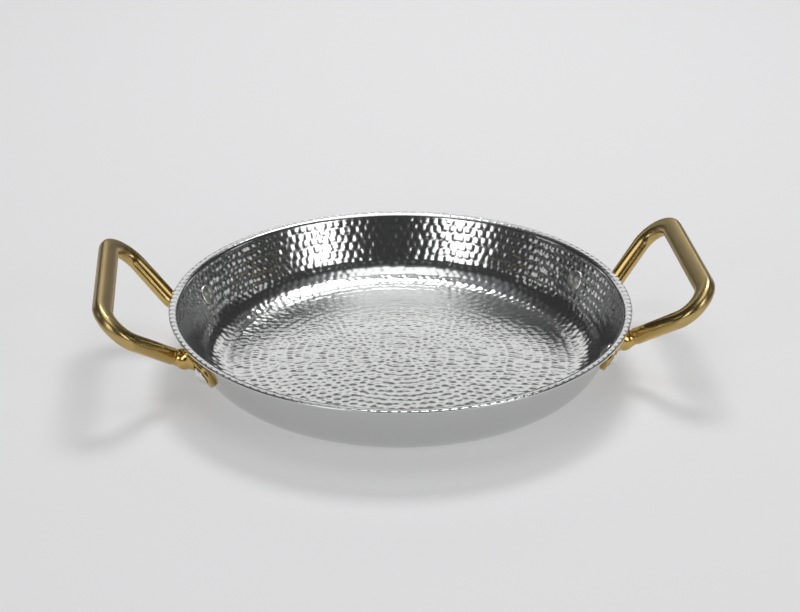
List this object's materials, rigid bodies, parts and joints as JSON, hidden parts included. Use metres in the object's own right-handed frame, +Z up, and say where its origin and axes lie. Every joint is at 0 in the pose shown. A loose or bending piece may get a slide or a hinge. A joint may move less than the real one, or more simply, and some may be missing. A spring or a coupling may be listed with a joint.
{
  "type": "two-handled pan",
  "caption": "Shallow round pan of hammered steel with a flared wall and lip, and two raised brass loop handles riveted to the wall.",
  "frame": {"origin": "centre of the flat base, on the surface the pan stands on", "axes": "+Z up along the pan's axis, +X from the centre towards the right handle, +Y away from the viewer"},
  "size_m": [0.3118, 0.24, 0.0578],
  "materials": {
    "pan_steel": "hammered inside, bright satin",
    "handle_brass": "polished legs, satin grip",
    "rivet_steel": "polished"
  },
  "bodies": {
    "root": {"pan_body": "pan_steel", "handle_left": "handle_brass", "handle_right": "handle_brass", "rivet_left_front": "rivet_steel", "rivet_left_rear": "rivet_steel", "rivet_right_front": "rivet_steel", "rivet_right_rear": "rivet_steel"}
  },
  "joints": []
}
